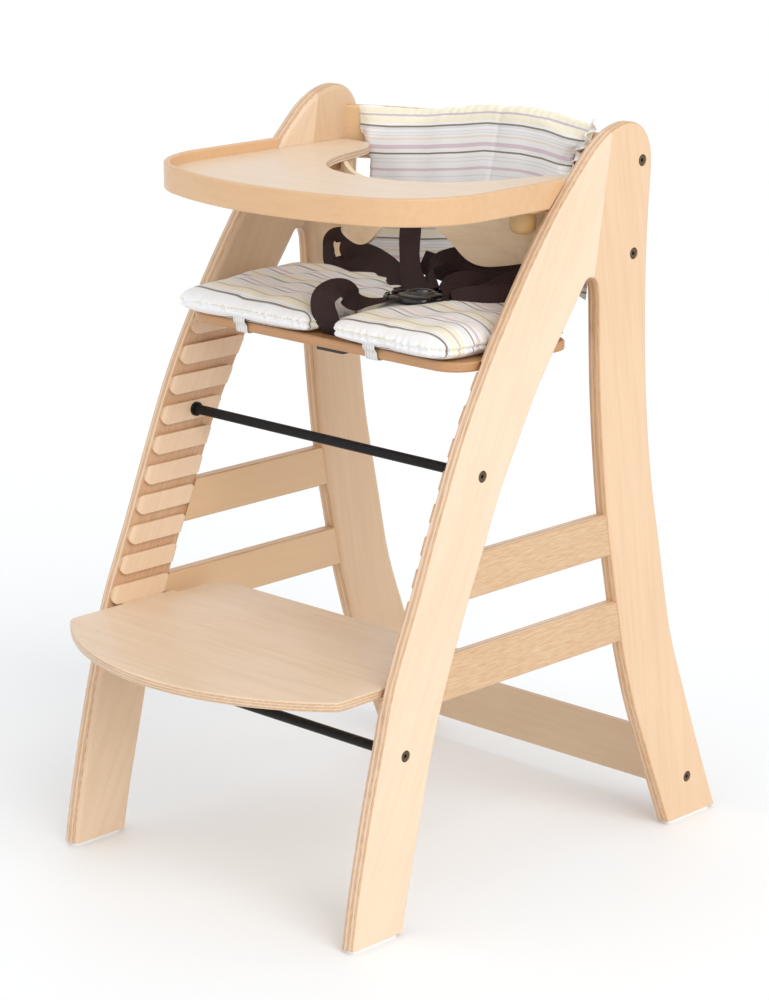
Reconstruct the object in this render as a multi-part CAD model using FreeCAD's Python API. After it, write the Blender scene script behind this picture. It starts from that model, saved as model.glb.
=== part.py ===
import FreeCAD, Part
import math
import os

# Wooden stair-type baby high chair with tray, guard bow, harness and a two-piece cushion set.
# Millimetres, +Z up, the chair faces -Y, X = 0 is the plane of symmetry of the woodwork.
# Outline stations are (depth, height): depth runs backwards from the toe of the front foot,
# height runs up from the underside of the legs. save() moves every piece by SHIFT, so that the
# origin ends up on the floor in the middle of the footprint.
V = FreeCAD.Vector
UP = V(0, 0, 1)
os.makedirs("parts", exist_ok=True)

# ---- side frames ---------------------------------------------------------------------------------
inner_half = 203.4          # half the clear width between the two side frames
ply_t = 18.6                # plywood of the side frames
outer_half = inner_half + ply_t
foot_reach = 587.5          # toe of the front foot to heel of the rear foot
board_nose = 78.0           # foot board in front of the toe
edge_out = 4.0              # rounding of the frame edges outside
edge_in = 6.5               # rounding of the frame edges inside
glide_t = 4.5               # plastic glide under each foot
glide_margin = 3.3
rail_h = 46.4
rail_lows = {"upper": 332.1, "lower": 231.8}
rail_set_in = 2.4           # rail behind the inner face of its frame
rail_set_out = 1.7          # rail behind the outer face

# ---- ladder grooves and the boards in them -------------------------------------------------------
board_t = 10.4
slip = 0.08                 # running clearance of a board in its groove
groove_pitch = 31.3
groove_first = 259.6        # top of the lowest groove
groove_n = 11
groove_deep = 5.6
land_corner = 8.0           # rounding of the lands between the grooves, at their ends
tongue = groove_deep - 0.1
side_play = 0.2
board_half = inner_half - side_play
board_round = 2.5
foot_top = groove_first
seat_top = groove_first + 10 * groove_pitch
seat_low = seat_top - board_t
slot_x = 12.0               # strap slot in the seat board, beside the middle
slot_y = 190.0

# ---- fixings -------------------------------------------------------------------------------------
bolt_r = 3.0
head_r = 6.0
head_t = 3.4
head_sunk = 0.8
thread_gap = 0.05
bar_r = 5.4
collar_r = 7.8
collar_t = 3.0
nut_r = 4.0
nut_in = 24.0               # cross nut from the end of the heel board
bar_high = (189.0, 458.5)
bar_low = (77.0, 189.0)
heel_fix = (535.0, 46.0)
back_high_fix = (432.5, 752.0)
back_low_fix = (421.3, 655.5)

# ---- backrest boards -----------------------------------------------------------------------------
back_t = 10.5
back_h = 60.0
back_sag = 48.0             # how far the bow goes back in the middle
back_inset = 2.8            # bolt ahead of the middle of the board's end
back_bore = 9.0
back_round = 3.0
back_lows = {"upper": 709.8, "lower": 625.5}
bow_r = (inner_half ** 2 + back_sag ** 2) / (2 * back_sag)
bow_c = back_high_fix[0] - back_t / 2 - back_inset + back_sag - bow_r

# ---- tray ----------------------------------------------------------------------------------------
tray_top = 732.0
panel_t = 8.0
panel_low = tray_top - panel_t
rim_low = 715.0
rim_high = 743.5
rim_t = 7.0
tray_half = inner_half - 0.35
tray_nose = 83.0
nose_r = 402.0              # plan radius of the tray front
nose_corner = 103.0
arm_end = 420.0
guard_t = 7.0
guard_half = 146.0
guard_nose = 320.0
guard_bow = 46.0            # depth of the half ellipse
guard_end = 371.0
runner_x = 184.0
runner_t = 12.0
runner_gap = 0.06
knob_at = (178.0, 296.0)
knob_r = 14.0
knob_h = 24.0
knob_gap = 0.05
stud_r = 3.0
insert_r = 4.5

# ---- cushions and harness ------------------------------------------------------------------------
soft_gap = 0.4
pad_low = seat_top + 0.6
pad_top = 604.0
back_pad_t = 13.0
back_pad_low = 600.0
back_pad_high = 786.0
gate_x = 134.0              # shoulder strap openings in the back cushion
gate_z = 697.6
web_w = 26.0
web_t = 1.8
buckle_at = (70.0, 258.0)
buckle_low = pad_top + 2.0
buckle_t = 11.0
buckle_w = 46.0
button_r = 9.5
button_t = 4.8
button_gap = 0.08
press = 1.8                 # travel of the push button

SHIFT = V(0, -(foot_reach - board_nose) / 2, glide_t)


# ---- small constructors --------------------------------------------------------------------------
def save(name, shape):
    moved = shape.copy()
    moved.translate(SHIFT)
    moved.exportStep("parts/%s.step" % name)
    print("%-24s %d solid(s), valid %s" % (name, len(moved.Solids), moved.isValid()))


def save_pair(name, shape):
    save("right_" + name, shape)
    save("left_" + name, mirrored(shape))


def mirrored(shape):
    return shape.mirror(V(0, 0, 0), V(1, 0, 0))


def both(shape):
    return [shape, mirrored(shape)]


def box_at(x0, x1, y0, y1, z0, z1):
    return Part.makeBox(x1 - x0, y1 - y0, z1 - z0, V(x0, y0, z0))


def rod(p, q, r):
    return Part.makeCylinder(r, p.distanceToPoint(q), p, q - p)


def cross_rod(x0, x1, at, r):
    return rod(V(x0, at[0], at[1]), V(x1, at[0], at[1]), r)


def curve(points):
    spline = Part.BSplineCurve()
    spline.interpolate(points)
    return spline.toShape()


def chain_face(chains):
    edges = []
    for chain in chains:
        if len(chain) == 2:
            edges.append(Part.makeLine(chain[0], chain[1]))
        else:
            edges.append(curve(chain))
    return Part.Face(Part.Wire(edges))


def poly_face(points):
    return Part.Face(Part.makePolygon(points + points[:1]))


def at_x(stations, x):
    return [V(x, y, z) for y, z in stations]


def upright_edges(shape, x, y):
    found = []
    for edge in shape.Edges:
        a = edge.Vertexes[0].Point
        b = edge.Vertexes[-1].Point
        upright = math.hypot(a.x - b.x, a.y - b.y) < 0.001
        if upright and abs(abs(a.x) - x) < 0.2 and abs(a.y - y) < 0.2:
            found.append(edge)
    return found


def soften(shape, radius, levels):
    edges = []
    for edge in shape.Edges:
        box = edge.BoundBox
        if box.ZLength < 0.001 and any(abs(box.ZMax - z) < 0.001 for z in levels):
            edges.append(edge)
    return shape.makeFillet(radius, edges)


def tidy(shape):
    return shape.removeSplitter()


def biggest(shape):
    return max(shape.Solids, key=lambda solid: solid.Volume)


# ---- side frames: one outline, split on the glue line into front leg and rear leg ----------------
front_edge = [(0, 0), (8.3, 50), (19.5, 103), (31, 152), (44, 202), (61, 263.8), (80, 310),
              (97, 349.5), (115, 395), (135.8, 445.2), (157.5, 495), (179, 536), (200, 572),
              (222, 607), (250, 648), (281, 690), (311, 725.5), (342, 757), (357.5, 771.5),
              (374, 783), (391, 790.5), (408.6, 794)]
back_edge = [(408.6, 794), (423.5, 792), (435, 785.5), (444, 773.5), (448.5, 757), (448.6, 735),
             (446.6, 705), (444.8, 670), (444.3, 640), (444.6, 603), (446.4, 549), (450, 494),
             (455, 449), (461.7, 404), (470, 363), (479, 322), (489.2, 272), (499.5, 228),
             (522.1, 164), (554, 82), (foot_reach, 0)]
rear_inside = [(502.7, 0), (475, 65), (449, 127), (436, 161), (424, 200), (414.5, 235),
               (405, 280), (394, 333), (385, 385), (377.8, 441.5), (372.5, 496), (368.6, 561),
               (367.2, 600), (365.8, 622), (361.5, 634.5), (353.5, 638), (344.5, 633)]
front_inside = [(344.5, 633), (308, 583.5), (273.5, 535), (245, 486), (219, 439), (196, 387),
                (173, 335), (152, 284.4), (134, 236), (121.5, 197), (111, 157), (99, 107),
                (85, 50), (75, 0)]
heel_line = [(foot_reach, 0), (502.7, 0)]
toe_line = [(75, 0), (0, 0)]
front_of_glue = [(332, 480), (388.8, 824), (-60, 824), (-60, -20), (290, -20)]


def rim_edges(shape, x):
    found = []
    for edge in shape.Edges:
        on_face = all(abs(vertex.Point.x - x) < 0.001 for vertex in edge.Vertexes)
        if on_face and edge.BoundBox.ZMax > 0.5:
            found.append(edge)
    return found


def frame_outline():
    chains = [front_edge, back_edge, heel_line, rear_inside, front_inside, toe_line]
    return chain_face([at_x(chain, inner_half) for chain in chains])


def whole_frame(outline):
    frame = outline.extrude(V(ply_t, 0, 0))
    frame = frame.makeFillet(edge_out, rim_edges(frame, outer_half))
    return frame.makeFillet(edge_in, rim_edges(frame, inner_half))


def bolt_hole(leg, at):
    bore = cross_rod(inner_half - 5, outer_half + 5, at, bolt_r + 0.15)
    seat = cross_rod(outer_half - head_t - head_sunk, outer_half + 5, at, head_r + 0.3)
    return leg.cut(bore).cut(seat)


def ladder_cutter(outline):
    """A slab as deep as the grooves, less the raised lands between them, whose corners are round."""
    x1 = inner_half + groove_deep
    top = groove_first + slip
    low = top - board_t - 2 * slip
    cutter = box_at(inner_half - 1, x1, -20, 370, low, top + groove_pitch * (groove_n - 1))
    for step in range(groove_n - 1):
        band = box_at(190, 240, -20, 345, top, low + groove_pitch)
        land = outline.extrude(V(groove_deep + 3, 0, 0)).common(band)
        corners = []
        for edge in land.Edges:
            box = edge.BoundBox
            if box.XLength > groove_deep and min(box.ZMin - top, low + groove_pitch - box.ZMax) < 0.01:
                corners.append(edge)
        cutter = cutter.cut(land.makeFillet(land_corner, corners))
        top += groove_pitch
        low += groove_pitch
    return cutter


def front_leg(blank, outline):
    leg = blank.cut(ladder_cutter(outline))
    return bolt_hole(bolt_hole(leg, bar_high), bar_low)


def rear_leg(blank):
    leg = blank
    for at in (heel_fix, back_high_fix, back_low_fix):
        leg = bolt_hole(leg, at)
    return leg


def side_rail(low, front_blank, rear_blank):
    bar = box_at(inner_half + rail_set_in, outer_half - rail_set_out, 100, 470, low, low + rail_h)
    rail = biggest(bar.cut(front_blank).cut(rear_blank))
    long_edges = []
    for edge in rail.Edges:
        if edge.Length > 150 and edge.BoundBox.ZLength < 0.01:
            long_edges.append(edge)
    return rail.makeFillet(board_round, long_edges)


side_outline = frame_outline()
whole = whole_frame(side_outline)
front_zone = poly_face(at_x(front_of_glue, 190)).extrude(V(60, 0, 0))
front_blank = whole.common(front_zone)
rear_blank = whole.cut(front_zone)
save_pair("front_leg", front_leg(front_blank, side_outline))
save_pair("rear_leg", rear_leg(rear_blank))
for level, low in rail_lows.items():
    save_pair(level + "_side_rail", side_rail(low, front_blank, rear_blank))


# ---- plastic glides under the feet ---------------------------------------------------------------
def glide(y0, y1):
    x0 = inner_half + glide_margin
    x1 = outer_half - glide_margin
    pad = box_at(x0, x1, y0, y1, -glide_t, 0)
    corners = [edge for x in (x0, x1) for y in (y0, y1) for edge in upright_edges(pad, x, y)]
    return pad.makeFillet(5.5, corners)


save("foot_glides", Part.makeCompound(both(glide(4, 70)) + both(glide(508, 582))))


# ---- black cross bars with a collar at each end --------------------------------------------------
def cross_bar(at):
    end = inner_half - collar_t
    bar = cross_rod(-end, end, at, bar_r)
    bore = cross_rod(inner_half - 30, inner_half, at, bolt_r + thread_gap)
    return bar.cut(bore).cut(mirrored(bore))


def collar(at):
    ring = cross_rod(inner_half - collar_t, inner_half, at, collar_r)
    return ring.cut(cross_rod(inner_half - 10, inner_half + 5, at, bolt_r + 0.1))


save("upper_cross_bar", cross_bar(bar_high))
save("lower_cross_bar", cross_bar(bar_low))
save("cross_bar_collars", Part.makeCompound(both(collar(bar_high)) + both(collar(bar_low))))


# ---- heel board between the rear feet, with its cross nuts ---------------------------------------
def heel_board():
    board = box_at(-inner_half, inner_half, 533, 547, 27.7, 86.3)
    board = board.makeFillet(board_round, [edge for edge in board.Edges if edge.Length > 300])
    bore = cross_rod(inner_half - 34, inner_half + 1, heel_fix, bolt_r + thread_gap)
    pocket = nut_blank(nut_r + 0.02)
    return board.cut(bore).cut(mirrored(bore)).cut(pocket).cut(mirrored(pocket))


def nut_blank(r):
    middle = V(inner_half - nut_in, heel_fix[0], heel_fix[1])
    return rod(middle - V(0, 4.2, 0), middle + V(0, 4.2, 0), r)


def cross_nut():
    return nut_blank(nut_r).cut(cross_rod(160, 200, heel_fix, bolt_r + thread_gap))


save("heel_board", heel_board())
save("cross_nuts", Part.makeCompound(both(cross_nut())))


# ---- bent plywood backrest boards ----------------------------------------------------------------
def board_section(y, low):
    # rectangle with each corner rounded off in four short flats
    r = back_round
    corners = [(bow_r + r, low + r, 180), (bow_r + back_t - r, low + r, 270),
               (bow_r + back_t - r, low + back_h - r, 0), (bow_r + r, low + back_h - r, 90)]
    points = []
    for x, z, start in corners:
        for k in range(5):
            turn = math.radians(start + 22.5 * k)
            points.append(V(x + r * math.cos(turn), y, z + r * math.sin(turn)))
    return poly_face(points)


def backrest_board(fix, low):
    end_y = fix[0] - back_t / 2 - back_inset
    middle_y = end_y + back_sag - bow_r
    ring = board_section(middle_y, low).revolve(V(0, middle_y, 0), UP, 180)
    board = ring.common(box_at(-inner_half, inner_half, end_y - 5, end_y + 90, low, low + back_h))
    bore = cross_rod(inner_half - back_bore, inner_half + 1, fix, bolt_r + thread_gap)
    return board.cut(bore).cut(mirrored(bore))


save("upper_backrest_board", backrest_board(back_high_fix, back_lows["upper"]))
save("lower_backrest_board", backrest_board(back_low_fix, back_lows["lower"]))


# ---- socket bolts --------------------------------------------------------------------------------
def socket_bolt(at, length):
    top = outer_half - head_sunk
    head = cross_rod(top - head_t, top, at, head_r)
    bolt = head.fuse(cross_rod(top - head_t - length, top - head_t, at, bolt_r))
    corners = []
    for k in range(6):
        turn = math.radians(30 + 60 * k)
        corners.append(V(top - 2.2, at[0] + 2.3 * math.cos(turn), at[1] + 2.3 * math.sin(turn)))
    bolt = bolt.cut(poly_face(corners).extrude(V(3, 0, 0)))
    rim = []
    for edge in bolt.Edges:
        if abs(edge.BoundBox.XMin - top) < 0.001 and edge.Length > 6 * head_r:
            rim.append(edge)
    return bolt.makeFillet(1.0, rim)


def bolt_set(places, length):
    return Part.makeCompound([bolt for at in places for bolt in both(socket_bolt(at, length))])


save("cross_bar_bolts", bolt_set((bar_high, bar_low), 38.0))
save("heel_board_bolts", bolt_set((heel_fix,), 44.0))
save("backrest_bolts", bolt_set((back_high_fix, back_low_fix), ply_t - head_t - head_sunk + 8.4))


# ---- boards that slide in the grooves ------------------------------------------------------------
def groove_key(y0, y1, low, top):
    reach = inner_half + tongue
    key = box_at(-reach, reach, y0, y1, low, top)
    key = key.makeFillet(4.0, upright_edges(key, reach, y0) + upright_edges(key, reach, y1))
    return key.cut(box_at(8 - board_half, board_half - 8, y0 - 9, y1 + 9, low - 1, top + 1))


def foot_board():
    nose = 300.0            # plan radius of the front edge
    rear = 214.5
    waist = 150.0           # narrower behind this depth
    rear_half = 194.0
    low = foot_top - board_t
    disc = Part.makeCylinder(nose, board_t, V(0, nose - board_nose, low))
    board = disc.common(box_at(-board_half, board_half, -board_nose - 5, rear, low, foot_top))
    ends = []
    for edge in board.Edges:
        box = edge.BoundBox
        if box.XLength < 0.001 and box.ZLength > 5 and box.YMax < 40:
            ends.append(edge)
    board = board.makeFillet(14.0, ends)
    for trim in both(box_at(rear_half, board_half + 5, waist, rear + 5, low - 1, foot_top + 1)):
        board = board.cut(trim)
    board = tidy(board.makeFillet(26.0, upright_edges(board, rear_half, rear)))
    board = soften(board, board_round, (low, foot_top))
    return tidy(board.fuse(groove_key(76, 134, low, foot_top)))


def seat_board():
    front = 171.5
    rear = 350.0
    bulge = 22.0            # the rear edge bows back behind the frames
    bulge_half = 172.0
    bulge_r = (bulge_half ** 2 + bulge ** 2) / (2 * bulge)
    board = box_at(-board_half, board_half, front, rear, seat_low, seat_top)
    board = board.makeFillet(34.0, upright_edges(board, board_half, front))
    board = board.makeFillet(24.0, upright_edges(board, board_half, rear))
    disc = Part.makeCylinder(bulge_r, board_t, V(0, rear + bulge - bulge_r, seat_low))
    disc = disc.common(box_at(-bulge_half, bulge_half, rear - 1, rear + bulge + 1, seat_low, seat_top))
    board = soften(tidy(board.fuse(disc)), board_round, (seat_low, seat_top))
    board = tidy(board.fuse(groove_key(212, 288, seat_low, seat_top)))
    slot = box_at(slot_x - 15, slot_x + 15, slot_y - 2.6, slot_y + 2.6, seat_low - 1, seat_top + 1)
    return board.cut(slot)


save("foot_board", foot_board())
save("seat_board", seat_board())


# ---- tray: floor panel, rim, guard bow and its glue blocks ---------------------------------------
cut_half = [(172, 424), (156, 414), (144, 402), (136, 386), (130, 364), (124, 342), (109, 307),
            (90, 280), (66, 261), (35, 249)]


def tray_block(grow, rear):
    half = tray_half + grow
    r = nose_r + grow
    front = tray_nose - grow
    disc = Part.makeCylinder(r, rim_high - rim_low, V(0, front + r, rim_low))
    block = disc.common(box_at(-half, half, front - 5, rear, rim_low, rim_high))
    corners = []
    for edge in block.Edges:
        box = edge.BoundBox
        if box.ZLength > 20 and box.XLength < 0.001 and box.YMax < 200:
            corners.append(edge)
    return block.makeFillet(nose_corner + grow, corners)


def tray_cut():
    low = panel_low - 1
    right = [V(x, y, low) for x, y in cut_half]
    left = [V(-x, y, low) for x, y in reversed(cut_half)]
    line = right + [V(0, 246, low)] + left
    return chain_face([line, [line[-1], line[0]]]).extrude(V(0, 0, panel_t + 2))


def tray_panel():
    panel = tray_block(0, arm_end).common(box_at(-400, 400, -50, 500, panel_low, tray_top))
    panel = panel.makeFillet(8.0, upright_edges(panel, tray_half, arm_end))
    panel = panel.cut(tray_cut())
    pocket = rod(V(*knob_at, panel_low - 1), V(*knob_at, tray_top - 1.5), insert_r)
    return panel.cut(pocket).cut(mirrored(pocket))


def tray_rim():
    rim = tray_block(rim_t, 345).cut(tray_block(0, 500))
    before_legs = [(100, 500), (293.6, 709.5), (355.1, 773), (20, 900), (-50, 900), (-50, 500)]
    rim = tidy(rim.common(poly_face(at_x(before_legs, -300)).extrude(V(600, 0, 0))))
    return soften(rim, 2.0, (rim_low, rim_high))


def guard_plan(grow, z):
    a = guard_half + grow
    b = guard_bow + grow
    middle = guard_nose + guard_bow
    arc = []
    for k in range(25):
        turn = math.pi * k / 24
        arc.append(V(-a * math.cos(turn), middle - b * math.sin(turn), z))
    right = V(a, guard_end, z)
    left = V(-a, guard_end, z)
    return chain_face([arc, [arc[-1], right], [right, left], [left, arc[0]]])


def wavy_tool(half_line, limit):
    left = [V(-x, 250, z) for x, z in reversed(half_line)]
    line = left + [V(x, 250, z) for x, z in half_line[1:]]
    end = V(150, 250, limit)
    start = V(-150, 250, limit)
    return chain_face([line, [line[-1], end], [end, start], [start, line[0]]]).extrude(V(0, 200, 0))


def guard():
    lower_line = [(0, 690), (14, 685.5), (30, 673), (45, 664), (58, 654), (70, 644), (82, 638.5),
                  (96, 637), (112, 639), (128, 642), (141, 646), (150, 652)]
    upper_line = [(0, 711), (60, 711), (95, 713), (118, 719), (130, panel_low + 0.5),
                  (150, panel_low + 0.5)]
    inside = guard_half - guard_t
    wall = guard_plan(0, 600).extrude(V(0, 0, panel_low - 600))
    wall = wall.cut(guard_plan(-guard_t, 590).extrude(V(0, 0, 200)))
    wall = wall.cut(box_at(-inside, inside, guard_nose + guard_bow - 2, 500, 590, 800))
    wall = wall.cut(wavy_tool(lower_line, 590))
    return biggest(wall.cut(wavy_tool(upper_line, 760)))


def glue_block():
    block = box_at(guard_half, guard_half + 14, 340, guard_end, panel_low - 14, panel_low)
    block = block.cut(guard_plan(0, 600).extrude(V(0, 0, 200)))
    lower_edges = []
    for edge in block.Edges:
        box = edge.BoundBox
        if box.XMin > guard_half + 13 and box.ZMax < panel_low - 13 and box.YLength > 20:
            lower_edges.append(edge)
    return block.makeChamfer(10.0, lower_edges)


save("tray_panel", tray_panel())
save("tray_rim", tray_rim())
save("guard_bow", guard())
save_pair("glue_block", glue_block())


# ---- runners on the frames, turned clamp knobs under the tray ------------------------------------
knob_top = panel_low - runner_t - runner_gap - knob_gap


def tray_runner():
    leg_front = 312.0
    front = 281.0
    rear = 420.0
    low = panel_low - runner_t
    top = panel_low - runner_gap
    runner = box_at(runner_x, inner_half, leg_front, rear, low, top)
    nose = box_at(runner_x, tray_half - 0.5, front, leg_front, low, top)
    runner = tidy(runner.fuse(nose))
    ends = upright_edges(runner, runner_x, front) + upright_edges(runner, runner_x, rear)
    return runner.makeFillet(6.0, ends)


def tray_knob():
    side = [(0, 0), (knob_r - 5, 0), (knob_r - 2.2, 1.4), (knob_r - 0.6, 4.5), (knob_r, 10),
            (knob_r - 0.2, knob_h - 2), (knob_r - 1.2, knob_h), (0, knob_h)]
    knob = poly_face([V(r, 0, z) for r, z in side]).revolve(V(0, 0, 0), UP, 360)
    knob.translate(V(*knob_at, knob_top - knob_h))
    return knob.cut(rod(V(*knob_at, knob_top - 16), V(*knob_at, knob_top + 1), stud_r))


def knob_insert():
    roof = tray_top - 1.5
    insert = rod(V(*knob_at, panel_low), V(*knob_at, roof), insert_r)
    return insert.cut(rod(V(*knob_at, panel_low - 1), V(*knob_at, roof - 0.4), stud_r + thread_gap))


save_pair("tray_runner", tray_runner())
save_pair("tray_knob", tray_knob())
save_pair("knob_stud", rod(V(*knob_at, knob_top - 16), V(*knob_at, tray_top - 2), stud_r))
save("knob_inserts", Part.makeCompound(both(knob_insert())))


# ---- seat cushion: flat pad with a slit at the front for the crotch strap ------------------------
def seat_cushion():
    half = inner_half - soft_gap
    front = 158.0
    rear = 351.0
    slit_half = 18.0
    slit_end = 222.0
    pad = box_at(-half, half, front, rear, pad_low, pad_top)
    pad = pad.makeFillet(30.0, upright_edges(pad, half, front))
    pad = pad.makeFillet(20.0, upright_edges(pad, half, rear))
    slit = box_at(-slit_half, slit_half, front - 5, slit_end, pad_low - 1, pad_top + 1)
    slit = slit.makeFillet(slit_half - 0.5, upright_edges(slit, slit_half, slit_end))
    slit.translate(V(slot_x, 0, 0))
    return soften(pad.cut(slit), 8.0, (pad_top,))


# ---- back cushion: thin curved pad leaning on both backrest boards -------------------------------
lean_slope = (back_high_fix[0] - back_low_fix[0]) / (back_lows["upper"] - back_lows["lower"])


def lean_disc(r):
    below = back_lows["upper"] + back_h - back_pad_low
    height = back_pad_high - back_pad_low
    middle = V(0, bow_c - soft_gap - below * lean_slope, back_pad_low)
    return Part.Face(Part.Wire(Part.makeCircle(r, middle))).extrude(V(0, height * lean_slope, height))


def back_cushion():
    side = [(158, back_pad_low), (160, 736), (174, 745), (187, 762), (187, back_pad_high)]
    right = [V(x, 300, z) for x, z in side]
    left = [V(-x, 300, z) for x, z in reversed(side)]
    pad = lean_disc(bow_r).cut(lean_disc(bow_r - back_pad_t))
    pad = pad.common(poly_face(right + left).extrude(V(0, 250, 0)))
    for gate in both(box_at(gate_x - 17, gate_x + 17, 380, 480, gate_z - 4, gate_z + 4)):
        pad = pad.cut(gate)
    return pad


save("seat_cushion", seat_cushion())
save("back_cushion", back_cushion())


# ---- harness: flat webbing, each strap a loft along hand-placed points ---------------------------
# Each row is the middle of the strap and the direction its upper face looks.
def strap(rows, thick=web_t):
    points = [V(*row[0]) for row in rows]
    sections = []
    for k, point in enumerate(points):
        along = points[min(k + 1, len(points) - 1)] - points[max(k - 1, 0)]
        along.normalize()
        up = V(*rows[k][1])
        up = up - along * up.dot(along)
        up.normalize()
        side = along.cross(up) * (web_w / 2)
        up = up * (thick / 2)
        sections.append(Part.makePolygon([point - side - up, point + side - up, point + side + up,
                                          point - side + up, point - side - up]))
    return Part.makeLoft(sections, True, True)


bx, by = buckle_at
web_z = buckle_low + 6
rest_z = pad_top + 1.6
crotch = [((slot_x, slot_y, seat_low - 1), (0, -1, 0)),
          ((slot_x, slot_y, seat_top + 1), (0, -1, 0)),
          ((slot_x, 182, 592), (0, -1, -0.3)),
          ((slot_x + 1, 173, 606), (0, -1, 0)),
          ((slot_x + 4, 166, 619), (-0.2, -0.8, 0.5)),
          ((slot_x + 12, 171, 629), (-0.2, 0, 1)),
          ((slot_x + 23, 187, 628), (0.2, 0.3, 1)),
          ((slot_x + 35, 207, 620), (0.2, 0.3, 1)),
          ((slot_x + 46, 225, 613.5), (0.1, 0.2, 1)),
          ((bx - 5.5, by - 20.5, web_z), (0, 0, 1))]
left_waist = [((-168, 357, seat_top + 0.4), (0, 1, 0)),
              ((-168, 357.5, 612), (0, 1, 0)),
              ((-167, 355, 628), (0, 1, 0.4)),
              ((-163, 344, 637), (0, 0.3, 1)),
              ((-157, 330, 634), (0, -0.4, 1)),
              ((-148, 318, 622), (0.2, -0.5, 1)),
              ((-136, 309, 611), (0.3, -0.3, 1)),
              ((-118, 302, rest_z + 0.8), (0, 0, 1)),
              ((-80, 291, rest_z), (0, 0, 1)),
              ((-30, 278, rest_z), (0, 0, 1)),
              ((10, 269, rest_z + 1), (0, 0, 1)),
              ((34, 263, 610), (0, 0, 1)),
              ((bx - 22, by + 2, web_z), (0, 0, 1))]
right_waist = [((168, 357, seat_top + 0.4), (0, 1, 0)),
               ((168, 357.5, 612), (0, 1, 0)),
               ((167, 355, 626), (0, 1, 0.4)),
               ((163, 344, 634), (0, 0.3, 1)),
               ((156, 330, 631), (0, -0.4, 1)),
               ((148, 316, 621), (-0.2, -0.5, 1)),
               ((138, 302, 611.5), (-0.3, -0.3, 1)),
               ((126, 290, rest_z + 1.4), (0, 0, 1)),
               ((112, 278, rest_z + 0.8), (0, 0, 1)),
               ((bx + 24, by + 6, web_z), (0, 0, 1))]
left_shoulder = [((-gate_x, 458.5, gate_z), (0, 0, 1)),
                 ((-gate_x, 428, gate_z - 0.5), (0, 0, 1)),
                 ((-131, 412, 690), (0, -0.7, 1)),
                 ((-122, 402, 676), (0, -1, 0.7)),
                 ((-108, 392, 662), (0.1, -0.8, 0.8)),
                 ((-90, 380, 650), (0, -0.4, 1)),
                 ((-55, 350, 637), (0, -0.1, 1)),
                 ((-20, 325, 628), (0, 0, 1)),
                 ((14, 302, 621), (0, 0, 1)),
                 ((38, 286, 616), (0, 0, 1)),
                 ((bx - 12, by + 19, web_z + 2), (0, 0, 1))]
right_shoulder = [((gate_x, 458.5, gate_z), (0, 0, 1)),
                  ((gate_x, 428, gate_z - 0.5), (0, 0, 1)),
                  ((132, 412, 688), (0, -0.7, 1)),
                  ((128, 400, 670), (0, -1, 0.7)),
                  ((122, 386, 652), (0, -1, 0.9)),
                  ((115, 366, 637), (0, -0.5, 1)),
                  ((107, 342, 628), (0, -0.2, 1)),
                  ((99, 318, 621), (0, 0, 1)),
                  ((92, 298, 616), (0, 0, 1)),
                  ((bx + 14, by + 20, web_z + 2), (0, 0, 1))]
harness = {"crotch_strap": crotch, "left_waist_strap": left_waist, "right_waist_strap": right_waist,
           "left_shoulder_strap": left_shoulder, "right_shoulder_strap": right_shoulder}
for name, rows in harness.items():
    save(name, strap(rows))


# ---- anchor plates behind the upper backrest board and under the seat board ----------------------
def shoulder_anchor():
    r = bow_r + back_t + 0.3
    plate = box_at(-19, 19, r, r + 3, gate_z - 17, gate_z + 17)
    plate = plate.makeFillet(3.0, [edge for edge in plate.Edges if edge.BoundBox.YLength > 2.9])
    plate.rotate(V(0, 0, 0), UP, -math.degrees(math.asin(gate_x / r)))
    plate.translate(V(0, bow_c, 0))
    return plate


def crotch_anchor():
    plate = box_at(slot_x - 20, slot_x + 20, slot_y - 9, slot_y + 9, seat_low - 5.4, seat_low - 2.1)
    return plate.makeFillet(3.0, [edge for edge in plate.Edges if edge.BoundBox.ZLength > 3])


save("shoulder_strap_anchors", Part.makeCompound(both(shoulder_anchor())))
save("crotch_strap_anchor", crotch_anchor())


# ---- buckle: rounded shield with a round push button ---------------------------------------------
well_low = buckle_low + buckle_t - button_t + 0.8


def buckle_body():
    half = buckle_w / 2
    shield = box_at(bx - half, bx + half, by - half, by + half, buckle_low, buckle_low + buckle_t)
    shield = shield.makeFillet(15.0, [edge for edge in shield.Edges if edge.BoundBox.ZLength > 10])
    well = V(bx, by, well_low - press - 0.2)
    shield = shield.cut(Part.makeCylinder(button_r + button_gap, 20, well))
    for rows in harness.values():
        shield = shield.cut(strap(rows[-2:], web_t + 0.2))
    return biggest(shield)


def buckle_button():
    button = Part.makeCylinder(button_r, button_t, V(bx, by, well_low))
    return button.makeFillet(0.8, [edge for edge in button.Edges if edge.BoundBox.ZMin > well_low + 1])


save("buckle_body", buckle_body())
save("buckle_button", buckle_button())


# ---- elastic ties of the seat cushion, round the front edge of the seat board --------------------
def tie(x):
    thick = 1.2
    left = x - 8.5
    right = x + 8.5
    front = 171.2
    low = seat_low - 0.3
    drop = box_at(left, right, front - thick, front, low - thick, pad_low - 0.1)
    return tidy(drop.fuse(box_at(left, right, front - thick, 366, low - thick, low)))


save("cushion_ties", Part.makeCompound([tie(-108.0), tie(84.0)]))
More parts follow.
